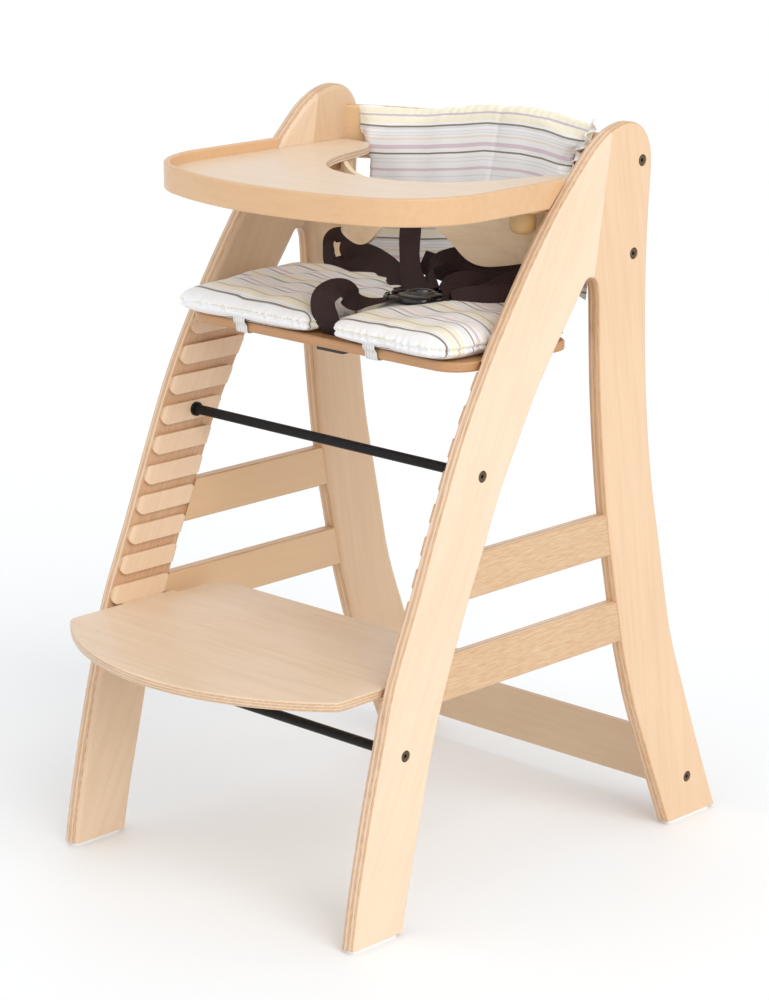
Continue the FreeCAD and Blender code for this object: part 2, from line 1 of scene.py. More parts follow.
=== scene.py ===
import bpy
import math
import mathutils.bvhtree
import numpy as np
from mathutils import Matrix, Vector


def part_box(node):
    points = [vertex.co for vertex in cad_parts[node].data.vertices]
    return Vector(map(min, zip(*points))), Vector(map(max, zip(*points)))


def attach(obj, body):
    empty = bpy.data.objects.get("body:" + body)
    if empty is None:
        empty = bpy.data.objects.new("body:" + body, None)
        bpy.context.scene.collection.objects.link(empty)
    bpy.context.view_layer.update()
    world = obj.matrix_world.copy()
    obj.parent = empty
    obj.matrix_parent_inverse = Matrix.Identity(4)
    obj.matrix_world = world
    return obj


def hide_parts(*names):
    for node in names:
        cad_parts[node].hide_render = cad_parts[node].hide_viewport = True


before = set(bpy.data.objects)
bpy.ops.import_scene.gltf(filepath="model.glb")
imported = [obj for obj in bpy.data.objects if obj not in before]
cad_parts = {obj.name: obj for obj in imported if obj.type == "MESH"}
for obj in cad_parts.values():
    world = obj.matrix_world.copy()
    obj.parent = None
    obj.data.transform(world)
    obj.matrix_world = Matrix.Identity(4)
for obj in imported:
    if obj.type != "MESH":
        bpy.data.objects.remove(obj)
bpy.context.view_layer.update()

# ---- studio --------------------------------------------------------------------------------------
# A pale seamless floor under an even white sky, with a broad soft lamp high on the right, so that
# the outer face of the right side frame is the brightest wood, and a weak one from the front left.
def new_material(name):
    """A material, with its node tree and its main shader."""
    material = bpy.data.materials.new(name)
    material.use_nodes = True
    return material, material.node_tree, material.node_tree.nodes["Principled BSDF"]


studio = bpy.context.scene
studio.view_settings.view_transform = "Standard"
lens = bpy.data.cameras.new("camera")
lens.lens = 111.63
lens.sensor_width = 36
lens.clip_end = 200
camera = bpy.data.objects.new("camera", lens)
camera.location = (2.2456, -2.31225, 1.2589)
camera.rotation_euler = (math.pi / 2 - 0.265, 0, 0.766)
studio.collection.objects.link(camera)
studio.camera = camera

sky = bpy.data.worlds.new("sky")
studio.world = sky
sky.use_nodes = True
sky_light = sky.node_tree.nodes["Background"]
sky_light.inputs["Color"].default_value = (1.0, 1.0, 1.0, 1)
sky_light.inputs["Strength"].default_value = 0.83


def add_sun(name, power, towards, softness, color):
    """A sun lamp whose light comes from the direction named."""
    data = bpy.data.lights.new(name, "SUN")
    data.energy = power
    data.angle = softness
    data.color = color
    lamp = bpy.data.objects.new(name, data)
    across = math.atan2(towards[1], towards[0])
    tilt = math.atan2(math.hypot(towards[0], towards[1]), towards[2])
    lamp.rotation_euler = (0, tilt, across)
    studio.collection.objects.link(lamp)


add_sun("window", 1.35, (0.80, -0.22, 0.58), 0.75, (1.0, 0.985, 0.96))
add_sun("bounce", 0.25, (-0.35, -0.85, 0.45), 1.1, (1.0, 0.99, 0.98))

floor_mesh = bpy.data.meshes.new("floor")
floor_half = 40
floor_mesh.from_pydata([(-floor_half, -floor_half, 0), (floor_half, -floor_half, 0),
                        (floor_half, floor_half, 0), (-floor_half, floor_half, 0)], [], [(0, 1, 2, 3)])
floor = bpy.data.objects.new("floor", floor_mesh)
studio.collection.objects.link(floor)
floor_paint, tree, floor_shader = new_material("floor_paint")
floor_shader.inputs["Base Color"].default_value = (0.935, 0.96, 0.985, 1)
floor_shader.inputs["Roughness"].default_value = 0.55
floor_mesh.materials.append(floor_paint)


# ---- side frames ---------------------------------------------------------------------------------
# Each side frame is birch plywood about 18.6 mm thick, of veneers about 3 mm thick glued crosswise:
# the outline sawn, edges rounded over, grooves routed, then the whole lacquered clear. A front leg and
# a rear leg are glued together on a slant below the shoulder.
def value_node(tree, kind, a, b=0.0, c=0.0):
    """One arithmetic step of a shader: kind applied to a, b and c, which are sockets or numbers."""
    node = tree.nodes.new("ShaderNodeMath")
    node.operation = kind
    for socket, given in zip(node.inputs, (a, b, c)):
        if isinstance(given, (int, float)):
            socket.default_value = given
        else:
            tree.links.new(given, socket)
    return node.outputs[0]


def blend_node(tree, amount, first, second, kind="MIX"):
    """Colour first turned towards colour second by amount."""
    node = tree.nodes.new("ShaderNodeMix")
    node.data_type = "RGBA"
    node.blend_type = kind
    for socket, given in ((node.inputs[0], amount), (node.inputs[6], first), (node.inputs[7], second)):
        if isinstance(given, (int, float)):
            socket.default_value = given
        elif isinstance(given, tuple):
            socket.default_value = given + (1.0,)
        else:
            tree.links.new(given, socket)
    return node.outputs[2]


def noise_node(tree, vector, stretch, detail):
    """Soft random field over the vector after it is stretched along its three axes."""
    squeeze = tree.nodes.new("ShaderNodeVectorMath")
    squeeze.operation = "MULTIPLY"
    tree.links.new(vector, squeeze.inputs[0])
    squeeze.inputs[1].default_value = stretch
    noise = tree.nodes.new("ShaderNodeTexNoise")
    noise.inputs["Scale"].default_value = 1.0
    noise.inputs["Detail"].default_value = detail
    noise.inputs["Roughness"].default_value = 0.55
    tree.links.new(squeeze.outputs[0], noise.inputs["Vector"])
    return noise.outputs["Fac"]


def ramp_node(tree, value, low, high):
    """0 below low, 1 above high, smooth between."""
    node = tree.nodes.new("ShaderNodeMapRange")
    node.interpolation_type = "SMOOTHSTEP"
    tree.links.new(value, node.inputs["Value"])
    node.inputs["From Min"].default_value = low
    node.inputs["From Max"].default_value = high
    return node.outputs["Result"]


def axis_value(tree, point, axis):
    """One coordinate of a point."""
    parts = tree.nodes.new("ShaderNodeSeparateXYZ")
    tree.links.new(point, parts.inputs[0])
    return parts.outputs[axis]


def raise_surface(tree, shader, height, strength, distance):
    """Tilts the shader's normals as if height stood out by distance, in metres."""
    raised = tree.nodes.new("ShaderNodeBump")
    raised.inputs["Strength"].default_value = strength
    raised.inputs["Distance"].default_value = distance
    tree.links.new(height, raised.inputs["Height"])
    tree.links.new(raised.outputs["Normal"], shader.inputs["Normal"])


def new_group(name, inputs, outputs):
    """An empty shader group with named sockets: returns its tree, its input node and its output node."""
    tree = bpy.data.node_groups.new(name, "ShaderNodeTree")
    for label, kind, start in inputs:
        socket = tree.interface.new_socket(label, in_out="INPUT", socket_type=kind)
        if start is not None:
            socket.default_value = start
    for label, kind in outputs:
        tree.interface.new_socket(label, in_out="OUTPUT", socket_type=kind)
    return tree, tree.nodes.new("NodeGroupInput"), tree.nodes.new("NodeGroupOutput")


# Wood grain: the vector runs along the fibres in x. Long faint streaks, short fine fibres, a slow
# cloudy tone and scattered pores darken the light colour.
grain, given, made = new_group(
    "wood_grain",
    [("Vector", "NodeSocketVector", None), ("Light", "NodeSocketColor", (0.86, 0.67, 0.44, 1)),
     ("Dark", "NodeSocketColor", (0.62, 0.40, 0.21, 1)), ("Figure", "NodeSocketFloat", 1.0)],
    [("Color", "NodeSocketColor"), ("Height", "NodeSocketFloat"), ("Roughness", "NodeSocketFloat")])
streaks = noise_node(grain, given.outputs["Vector"], (7, 150, 150), 4)
fibres = noise_node(grain, given.outputs["Vector"], (70, 1500, 1500), 2)
clouds = noise_node(grain, given.outputs["Vector"], (6, 14, 14), 3)
pores = ramp_node(grain, noise_node(grain, given.outputs["Vector"], (260, 2100, 2100), 1), 0.66, 0.74)
tone = value_node(grain, "MULTIPLY_ADD", ramp_node(grain, streaks, 0.35, 0.75), 0.20,
                  value_node(grain, "MULTIPLY", ramp_node(grain, fibres, 0.3, 0.75), 0.12))
tone = value_node(grain, "MULTIPLY_ADD", ramp_node(grain, clouds, 0.35, 0.7), 0.13, tone)
tone = value_node(grain, "MULTIPLY_ADD", pores, 0.20, tone)
tone = value_node(grain, "MULTIPLY", tone, given.outputs["Figure"])
grain.links.new(blend_node(grain, tone, given.outputs["Light"], given.outputs["Dark"]), made.inputs["Color"])
relief = value_node(grain, "MULTIPLY_ADD", pores, -0.8, value_node(grain, "MULTIPLY", fibres, 0.35))
grain.links.new(relief, made.inputs["Height"])
grain.links.new(value_node(grain, "MULTIPLY_ADD", tone, 0.25, 0.33), made.inputs["Roughness"])

# Plywood: Depth is the distance in from one face and Thickness the whole board. The faces keep the
# face veneer. Along a cut edge the veneers show as tan bands, every second one browner, with thin
# uneven glue lines between them.
plies, given, made = new_group(
    "plywood_layers",
    [("Vector", "NodeSocketVector", None), ("Color", "NodeSocketColor", None),
     ("Depth", "NodeSocketFloat", 0.0), ("Thickness", "NodeSocketFloat", 0.0186),
     ("Veneer", "NodeSocketFloat", 0.002), ("Cross", "NodeSocketColor", (0.50, 0.25, 0.10, 1)),
     ("Glue", "NodeSocketColor", (0.26, 0.11, 0.035, 1))],
    [("Color", "NodeSocketColor"), ("Height", "NodeSocketFloat")])
waver = noise_node(plies, given.outputs["Vector"], (25, 60, 60), 2)
centred = value_node(plies, "ADD", given.outputs["Depth"], -0.0002)
wandering = value_node(plies, "MULTIPLY_ADD", waver, 0.0004, centred)
count = value_node(plies, "DIVIDE", wandering, given.outputs["Veneer"])
crosswise = value_node(plies, "PINGPONG", value_node(plies, "FLOOR", count), 1.0)
within = value_node(plies, "FRACT", count)
from_glue = value_node(plies, "PINGPONG", within, 0.5)
seam = value_node(plies, "SUBTRACT", 1.0, ramp_node(plies, from_glue, 0.0, 0.16))
uneven = noise_node(plies, given.outputs["Vector"], (14, 420, 420), 2)
patchy = noise_node(plies, given.outputs["Vector"], (60, 600, 600), 2)
other_side = value_node(plies, "SUBTRACT", given.outputs["Thickness"], given.outputs["Depth"])
from_face = value_node(plies, "MINIMUM", given.outputs["Depth"], other_side)
inside = ramp_node(plies, from_face, 0.0007, 0.0013)
deep = value_node(plies, "MULTIPLY_ADD", value_node(plies, "MULTIPLY", crosswise, patchy), 0.85, 0.14)
deep = value_node(plies, "MULTIPLY", deep, inside)
shown = blend_node(plies, deep, given.outputs["Color"], given.outputs["Cross"])
seam = value_node(plies, "MULTIPLY", value_node(plies, "MULTIPLY", seam, inside),
                  ramp_node(plies, uneven, 0.38, 0.68))
seam = value_node(plies, "MULTIPLY", seam, 0.80)
plies.links.new(blend_node(plies, seam, shown, given.outputs["Glue"]), made.inputs["Color"])
sunk = value_node(plies, "MULTIPLY", value_node(plies, "ADD", seam, deep), -0.6)
plies.links.new(sunk, made.inputs["Height"])


frame_veneer, frame_thick = 0.0031, 0.0186


def wood(name, turn, light, dark, figure, depth=None, veneer=frame_veneer, thickness=frame_thick):
    """Wood with the fibres turned into x, under a thin, slightly soft coat of clear lacquer.
    depth(tree, point) gives the distance in from a plywood face, and solid wood has none."""
    material, tree, shader = new_material(name)
    place = tree.nodes.new("ShaderNodeTexCoord")
    turned = tree.nodes.new("ShaderNodeMapping")
    turned.inputs["Rotation"].default_value = turn
    tree.links.new(place.outputs["Object"], turned.inputs["Vector"])
    fibre = tree.nodes.new("ShaderNodeGroup")
    fibre.node_tree = grain
    tree.links.new(turned.outputs["Vector"], fibre.inputs["Vector"])
    fibre.inputs["Light"].default_value = light + (1,)
    fibre.inputs["Dark"].default_value = dark + (1,)
    fibre.inputs["Figure"].default_value = figure
    color = fibre.outputs["Color"]
    height = fibre.outputs["Height"]
    if depth is not None:
        layers = tree.nodes.new("ShaderNodeGroup")
        layers.node_tree = plies
        tree.links.new(turned.outputs["Vector"], layers.inputs["Vector"])
        tree.links.new(color, layers.inputs["Color"])
        tree.links.new(depth(tree, place.outputs["Object"]), layers.inputs["Depth"])
        layers.inputs["Veneer"].default_value = veneer
        layers.inputs["Thickness"].default_value = thickness
        color = layers.outputs["Color"]
        height = value_node(tree, "ADD", height, layers.outputs["Height"])
    tree.links.new(color, shader.inputs["Base Color"])
    tree.links.new(fibre.outputs["Roughness"], shader.inputs["Roughness"])
    shader.inputs["Coat Weight"].default_value = 0.25
    shader.inputs["Coat Roughness"].default_value = 0.22
    shader.inputs["Specular IOR Level"].default_value = 0.4
    raise_surface(tree, shader, height, 0.6, 0.00012)
    return material


def dress(material, *names):
    """Gives CAD nodes their finish."""
    for name in names:
        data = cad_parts[name].data
        data.materials.clear()
        data.materials.append(material)


def depth_in_frame(tree, point):
    """Distance in from the inner face of a side frame: the size of x less half the clear width."""
    across = value_node(tree, "ABSOLUTE", axis_value(tree, point, "X"))
    return value_node(tree, "SUBTRACT", across, frame_inner)


frame_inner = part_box("right_front_leg")[0].x
frame_light = (0.865, 0.665, 0.49)
frame_dark = (0.66, 0.43, 0.235)
front_lean = math.radians(26)
rear_lean = math.radians(-8)
upright = math.pi / 2
# The left legs get darker colours than the right legs: painted shade on the left frame, which is the same
# birch. The rear legs are also darker than the front legs.
for leg, lean, light, dark, figure in (
        ("right_front_leg", front_lean, frame_light, frame_dark, 0.9),
        ("left_front_leg", front_lean, (0.80, 0.61, 0.44), frame_dark, 1.1),
        ("right_rear_leg", rear_lean, (0.79, 0.56, 0.365), (0.60, 0.37, 0.19), 1.0),
        ("left_rear_leg", rear_lean, (0.70, 0.50, 0.325), (0.54, 0.33, 0.17), 1.0)):
    dress(wood(leg + "_birch", (lean, upright, 0), light, dark, figure, depth_in_frame), leg)
# The left rails get a darker colour than the right rails: painted shade on the left frame, the wood being the
# same.
for hand, light in (("left", (0.72, 0.51, 0.31)), ("right", (0.82, 0.66, 0.46))):
    rail = wood(hand + "_side_rail_birch", (0, 0, -upright), light, frame_dark, 1.1, depth_in_frame)
    dress(rail, hand + "_upper_side_rail", hand + "_lower_side_rail")


# ---- heel board ----------------------------------------------------------------------------------
# A straight plywood rail on edge that ties the two rear feet together, fibres across the chair.
def depth_in_heel(tree, point):
    """Distance in from the front face of the heel board, along y."""
    return value_node(tree, "SUBTRACT", axis_value(tree, point, "Y"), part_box("heel_board")[0].y)


dress(wood("heel_board_birch", (0, 0, 0), (0.68, 0.51, 0.35), (0.52, 0.34, 0.19), 1.0, depth_in_heel),
      "heel_board")

# ---- backrest boards -----------------------------------------------------------------------------
# Two plywood boards pressed to a bow of about 455 mm radius, so their veneers follow the bend.
bow_mm = 454.95
bow_radius = bow_mm / 1000
back_thick = 0.0105


def bent_depth(node):
    """Distance in from the hollow side of a bent board: distance from the bow's axis less its radius."""
    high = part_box(node)[1]
    axis_y = high.y - back_thick - bow_radius

    def depth(tree, point):
        away = tree.nodes.new("ShaderNodeVectorMath")
        away.operation = "MULTIPLY_ADD"
        tree.links.new(point, away.inputs[0])
        away.inputs[1].default_value = (1, 1, 0)
        away.inputs[2].default_value = (0, -axis_y, 0)
        size = tree.nodes.new("ShaderNodeVectorMath")
        size.operation = "LENGTH"
        tree.links.new(away.outputs[0], size.inputs[0])
        return value_node(tree, "SUBTRACT", size.outputs["Value"], bow_radius)

    return depth


for level in ("upper", "lower"):
    node = level + "_backrest_board"
    dress(wood(level + "_back_birch", (0, 0, 0), (0.80, 0.56, 0.33), (0.60, 0.35, 0.16), 1.2,
               bent_depth(node), 0.0015, back_thick), node)


# ---- seat board and foot board -------------------------------------------------------------------
# Flat plywood boards about 10 mm thick with softened edges, fibres across the chair. Their ends
# carry tongues that slide in the grooves of the front legs.
def flat_depth(node):
    """Distance down from the top face of a flat board."""
    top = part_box(node)[1].z

    def depth(tree, point):
        return value_node(tree, "SUBTRACT", top, axis_value(tree, point, "Z"))

    return depth


board_veneer, board_thick = 0.00149, 0.0104
for board, light, dark in (("seat_board", (0.575, 0.315, 0.155), (0.40, 0.20, 0.085)),
                           ("foot_board", (0.80, 0.63, 0.465), (0.62, 0.43, 0.27))):
    dress(wood(board + "_birch", (0, 0, 0), light, dark, 1.2, flat_depth(board), board_veneer, board_thick),
          board)


# ---- cross bars ----------------------------------------------------------------------------------
# Two round steel bars with a satin black powder coat pull the side frames together. A collar of
# the same finish sits at each end.
def speckled(name, color, rough, scale, bump, metallic=0.0, coat=0.0, spread=0.08, shine=0.5):
    """A plain hard finish: fine random speckle raises the surface and shifts its gloss and colour."""
    material, tree, shader = new_material(name)
    place = tree.nodes.new("ShaderNodeTexCoord").outputs["Object"]
    fine = noise_node(tree, place, (scale, scale, scale), 2)
    broad = noise_node(tree, place, (scale / 12, scale / 12, scale / 12), 2)
    paler = tuple(min(1.0, part * 1.25 + 0.01) for part in color)
    tree.links.new(blend_node(tree, broad, color, paler), shader.inputs["Base Color"])
    gloss = value_node(tree, "MULTIPLY_ADD", fine, spread, rough - spread / 2)
    tree.links.new(gloss, shader.inputs["Roughness"])
    shader.inputs["Metallic"].default_value = metallic
    shader.inputs["Coat Weight"].default_value = coat
    shader.inputs["Specular IOR Level"].default_value = shine
    raise_surface(tree, shader, fine, 0.5, bump)
    return material


dress(speckled("black_powder_coat", (0.005, 0.005, 0.006), 0.36, 1400, 0.00008, shine=0.14),
      "upper_cross_bar", "lower_cross_bar", "cross_bar_collars")

# ---- bolts and cross nuts ------------------------------------------------------------------------
# Socket-head furniture bolts in dark bronze plate. The cross nuts in the heel board and the knobs'
# threaded studs are bright zinc.
dress(speckled("bronze_plate", (0.115, 0.082, 0.055), 0.38, 900, 0.00005, 0.85), "cross_bar_bolts",
      "heel_board_bolts", "backrest_bolts")
dress(speckled("zinc_plate", (0.60, 0.61, 0.62), 0.33, 700, 0.00003, 1.0), "cross_nuts", "left_knob_stud",
      "right_knob_stud")

# ---- foot glides ---------------------------------------------------------------------------------
# White moulded plastic pads, one under each foot.
dress(speckled("white_glide_plastic", (0.84, 0.85, 0.86), 0.5, 500, 0.00005), "foot_glides")

# ---- tray ----------------------------------------------------------------------------------------
# A plywood floor panel with a cut-out for the child. A bent rim is glued round its front and sides,
# and a bent guard bow hangs under the cut-out on two glue blocks.
tray_light = (0.72, 0.46, 0.255)
tray_dark = (0.56, 0.32, 0.15)
dress(wood("tray_panel_beech", (0, 0, 0), (0.79, 0.63, 0.48), (0.66, 0.47, 0.31), 0.9,
           flat_depth("tray_panel"), 0.0016, 0.008), "tray_panel")
dress(wood("tray_rim_beech", (0, 0, 0), tray_light, tray_dark, 1.0), "tray_rim")
dress(wood("guard_bow_beech", (0, 0, 0), (0.87, 0.69, 0.47), tray_dark, 1.0), "guard_bow")
dress(wood("block_beech", (0, 0, -upright), tray_light, tray_dark, 1.2), "left_glue_block",
      "right_glue_block", "left_tray_runner", "right_tray_runner")

# ---- tray knobs ----------------------------------------------------------------------------------
# Turned beech knobs with a rounded lower rim, fibres upright, screwed up on threaded studs into
# brass inserts in the panel.
dress(wood("knob_beech", (0, upright, 0), (0.57, 0.36, 0.15), (0.41, 0.23, 0.08), 1.2), "left_tray_knob",
      "right_tray_knob")
dress(speckled("brass_insert", (0.55, 0.40, 0.18), 0.35, 700, 0.00003, 1.0), "knob_inserts")


# ---- seat cushion --------------------------------------------------------------------------------
# A thin pad of fibre in a striped cotton cover, slit from the front for the crotch strap. Top and
# bottom are sewn together in a low seam all round, which gathers the cloth into small puckers.
toe_ahead, glide_high = 254.75, 4.5


def at(x, y, z):
    """Metres from millimetres off the centreline, behind the front toe and above the soles."""
    return np.stack(np.broadcast_arrays(np.asarray(x) / 1000, (np.asarray(y) - toe_ahead) / 1000,
                                        (np.asarray(z) + glide_high) / 1000), -1).astype(float)


def new_piece(name, points, faces, material, uv=None):
    """A mesh object at the origin from points, faces and, if given, one uv pair for each face corner."""
    mesh = bpy.data.meshes.new(name)
    faces = faces.tolist() if isinstance(faces, np.ndarray) else faces
    mesh.from_pydata(np.asarray(points).reshape(-1, 3).tolist(), [], faces)
    if uv is not None:
        mesh.uv_layers.new(name="weave").data.foreach_set("uv", np.asarray(uv, np.float32).ravel())
    mesh.polygons.foreach_set("use_smooth", [True] * len(mesh.polygons))
    mesh.materials.append(material)
    piece = bpy.data.objects.new(name, mesh)
    studio.collection.objects.link(piece)
    return piece


def corners_rounded(corners, steps=7):
    """Closed outline through corners (x, y, reach): each corner is a parabola between two points at
    that reach from it on its sides."""
    spots = np.array([corner[:2] for corner in corners], float)
    reach = np.array([corner[2] for corner in corners], float)[:, None]
    back = np.roll(spots, 1, 0) - spots
    ahead = np.roll(spots, -1, 0) - spots
    start = spots + back / np.linalg.norm(back, axis=1)[:, None] * reach
    end = spots + ahead / np.linalg.norm(ahead, axis=1)[:, None] * reach
    t = np.linspace(0, 1, steps)[None, :, None]
    curve = (1 - t) ** 2 * start[:, None] + 2 * t * (1 - t) * spots[:, None] + t ** 2 * end[:, None]
    return curve.reshape(-1, 2)


def from_outline(spots, outline):
    """For each spot (x, y): its distance in from the closed outline and the outline's length up to
    the nearest place."""
    tips = np.roll(outline, -1, 0) - outline
    size = np.maximum(np.linalg.norm(tips, axis=1), 1e-9)
    away = spots[:, None] - outline[None]
    along = np.clip((away * tips).sum(2) / size ** 2, 0, 1)
    gap = np.linalg.norm(away - along[..., None] * tips[None], axis=2)
    nearest = gap.argmin(1)
    rows = np.arange(len(spots))
    start = np.concatenate([[0], np.cumsum(size)[:-1]])
    return gap[rows, nearest], start[nearest] + along[rows, nearest] * size[nearest]


def read_points(mesh, field="co"):
    """Vertex positions or normals as rows."""
    source = mesh.vertices
    values = np.zeros(len(source) * 3, np.float32)
    source.foreach_get(field, values)
    return values.reshape(-1, 3).astype(float)


def settled(piece):
    """The piece's mesh with its modifiers worked out; the modifiers are then taken off."""
    mesh = bpy.data.meshes.new_from_object(piece.evaluated_get(bpy.context.evaluated_depsgraph_get()))
    piece.modifiers.clear()
    piece.data = mesh
    return mesh


def stuffed(piece, grid, squeeze, push, most):
    """A sewn and filled form: the closed shell is remade on a cubic grid, squeezed to its sewn shape,
    blown up as cloth under inner pressure, no point further than most, and divided once more."""
    remade = piece.modifiers.new("grid", "REMESH")
    remade.mode = "VOXEL"
    remade.voxel_size = grid
    mesh = settled(piece)
    start = squeeze(read_points(mesh))
    mesh.vertices.foreach_set("co", start.astype(np.float32).ravel())
    mesh.update()
    filling = piece.modifiers.new("filling", "CLOTH")
    filling.settings.use_pressure = True
    filling.settings.uniform_pressure_force = push
    filling.settings.effector_weights.gravity = 0
    filling.settings.quality = 5
    filling.point_cache.frame_start = 1
    filling.point_cache.frame_end = 20
    for moment in range(1, 21):
        studio.frame_set(moment)
    mesh = settled(piece)
    moved = read_points(mesh) - start
    length = np.linalg.norm(moved, axis=1)[:, None]
    moved *= np.minimum(1, most / np.maximum(length, 1e-9))
    mesh.vertices.foreach_set("co", (start + moved).astype(np.float32).ravel())
    mesh.update()
    studio.frame_set(1)
    finer = piece.modifiers.new("finer", "SUBSURF")
    finer.levels = 1
    finer.render_levels = 1
    return settled(piece)


def lay_cloth(mesh, across, along):
    """Remembers where each vertex lies on the flat cloth, in metres across and along the stripes."""
    corners = np.zeros(len(mesh.loops), np.int32)
    mesh.loops.foreach_get("vertex_index", corners)
    flat = np.stack([across, along], 1)[corners]
    mesh.uv_layers.new(name="cloth").data.foreach_set("uv", flat.astype(np.float32).ravel())


cotton_white, cotton_grey, cream = (0.88, 0.89, 0.91), (0.73, 0.74, 0.77), (0.87, 0.83, 0.66)
lilac, olive, pink, peach = (0.56, 0.49, 0.58), (0.23, 0.195, 0.135), (0.70, 0.58, 0.65), (0.84, 0.74, 0.62)


def uv_socket(tree, layer):
    """The place on the mesh's flat layer of that name."""
    node = tree.nodes.new("ShaderNodeUVMap")
    node.uv_map = layer
    return node.outputs[0]


def striped(name, first, period, woven, plain_before=None):
    """Cotton with woven stripes. A stripe starts each number of millimetres in woven after the line
    at first, against the cloth's length, and the order comes again every period."""
    material, tree, shader = new_material(name)
    place = tree.nodes.new("ShaderNodeTexCoord").outputs["Object"]
    length = axis_value(tree, uv_socket(tree, "cloth"), "Y")
    wander = noise_node(tree, place, (9, 9, 9), 1)
    run = value_node(tree, "MULTIPLY_ADD", length, -1000.0, first * 1000)
    run = value_node(tree, "MULTIPLY_ADD", wander, 3.0, value_node(tree, "ADD", run, -1.5))
    turn = value_node(tree, "FRACT", value_node(tree, "DIVIDE", run, period))
    bands = tree.nodes.new("ShaderNodeValToRGB")
    ramp = bands.color_ramp
    ramp.interpolation = "CONSTANT"
    while len(ramp.elements) < len(woven):
        ramp.elements.new(1.0)
    for element, (start, color) in zip(ramp.elements, woven):
        element.position = start / period
        element.color = color + (1,)
    tree.links.new(turn, bands.inputs[0])
    hairline = value_node(tree, "PINGPONG", value_node(tree, "MULTIPLY", run, 1.1), 1.0)
    faint = value_node(tree, "MULTIPLY", hairline, 0.09)
    color = blend_node(tree, faint, bands.outputs["Color"], (0.42, 0.42, 0.46))
    if plain_before is not None:
        front = value_node(tree, "LESS_THAN", length, plain_before)
        color = blend_node(tree, front, color, cotton_white)
    tree.links.new(color, shader.inputs["Base Color"])
    shader.inputs["Roughness"].default_value = 0.85
    shader.inputs["Sheen Weight"].default_value = 0.15
    weave = noise_node(tree, place, (1500, 1500, 1500), 2)
    slub = noise_node(tree, place, (180, 60, 180), 2)
    raise_surface(tree, shader, value_node(tree, "ADD", weave, slub), 0.5, 0.0003)
    return material


def rows_at(spots, length, rows):
    """The rows, given at the values in length, read off between them at the values in spots."""
    return np.stack([np.interp(spots, length, column) for column in rows.T], 1)


def stitched(name, path, out, material, stitch=0.0032, gap=0.0014, thick=0.0006):
    """A run of thread stitches: on each step of the path a small spindle, long along the path and
    thick across it, laid on the cloth; out is the cloth's outward direction."""
    step = np.linalg.norm(np.diff(path, axis=0), axis=1)
    length = np.concatenate([[0], np.cumsum(step)])
    count = int(length[-1] / (stitch + gap))
    middle = (np.arange(count) + 0.5) * (stitch + gap)
    spot = rows_at(middle, length, path)
    ahead = rows_at(middle + 0.0005, length, path) - spot
    ahead /= np.maximum(np.linalg.norm(ahead, axis=1), 1e-9)[:, None]
    up = rows_at(middle, length, out)
    side = np.cross(ahead, up)
    side /= np.maximum(np.linalg.norm(side, axis=1), 1e-9)[:, None]
    t = np.array([-0.5, -0.35, 0.35, 0.5])
    wide = np.array([0.15, 1.0, 1.0, 0.15]) * thick
    around = np.arange(6) * math.pi / 3
    ring = side[:, None, None] * (wide[:, None] * np.cos(around))[None, ..., None]
    ring = ring + up[:, None, None] * (wide[:, None] * np.sin(around))[None, ..., None]
    points = spot[:, None, None] + ahead[:, None, None] * (t * stitch)[None, :, None, None] + ring
    first = (np.arange(count) * 24)[:, None, None] + (np.arange(3) * 6)[None, :, None]
    turn = np.arange(6)[None, None]
    after = (turn + 1) % 6
    faces = np.stack([first + turn, first + after, first + 6 + after, first + 6 + turn], -1)
    return new_piece(name, points, faces.reshape(-1, 4), material)


seat_rest = float(at(0, 0, 573.1)[2])
seat_seam = float(at(0, 0, 585)[2])
seat_outline = corners_rounded([(-202, 156, 13), (-6, 158, 9), (-5, 229, 17), (31, 229, 17), (32, 157, 22),
                                (202, 158, 36), (202, 350, 22), (-202, 350, 18)])
seat_outline = at(seat_outline[:, 0], seat_outline[:, 1], 0)[:, :2]


def sewn_seat(points):
    """Near the outline the pad thins from both sides towards the seam, by an exponential of the
    distance in."""
    inset = from_outline(points[:, :2], seat_outline)[0]
    share = 1 - np.exp(-inset / 0.011)
    points[:, 2] = seat_seam + (points[:, 2] - seat_seam) * (0.42 + 0.58 * share)
    return points


first_stripes = [(0, olive), (1.7, cotton_grey), (4, cotton_white), (7, cotton_grey), (8, cotton_white),
                 (10, cotton_grey), (11, cotton_white), (13.5, peach), (15.5, cotton_white)]
seat_stripes = first_stripes + [
    (20.5, pink), (24, cotton_white), (29.3, olive), (31, cotton_white), (34, cotton_grey),
    (35, cotton_white), (37, cotton_grey), (38.2, cotton_white), (42, cream), (48.5, lilac), (50.5, cream),
    (58, cotton_white), (60, cotton_grey), (60.8, cotton_white)]
cotton = striped("seat_striped_cotton", float(at(0, 171, 0)[1]), 62.0, seat_stripes,
                 float(at(0, 168.6, 0)[1]))
rim = np.concatenate([seat_outline, np.full((len(seat_outline), 1), seat_rest + 0.0012)], 1)
pad_high = 0.0275
lid = rim + (0, 0, pad_high)
many = len(rim)
walls = [(k, (k + 1) % many, (k + 1) % many + many, k + many) for k in range(many)]
seat = new_piece("seat_pad", np.concatenate([rim, lid]),
                 [tuple(range(many))[::-1], tuple(range(many, 2 * many))] + walls, cotton)
cover = stuffed(seat, 0.0045, sewn_seat, 4.0, 0.006)
spots = read_points(cover)
lay_cloth(cover, spots[:, 0], spots[:, 1])
facing = read_points(cover, "normal")
inset, run = from_outline(spots[:, :2], seat_outline)
height = spots[:, 2] - seat_seam
near = np.exp(-(height / 0.0065) ** 2) * np.exp(-np.maximum(inset - 0.004, 0) / 0.008)
pleat = np.sin(run * 420 + 2.2 * np.sin(run * 95)) + 0.6 * np.sin(run * 730 + 1.3)
seam = np.exp(-(height / 0.0016) ** 2)
swell = np.sin(spots[:, 0] * 61 + 4 * spots[:, 1] + 0.8) * np.sin(spots[:, 1] * 47 + 1.1)
swell += 0.7 * np.sin(spots[:, 0] * 112 - spots[:, 1] * 75 + 2.0)
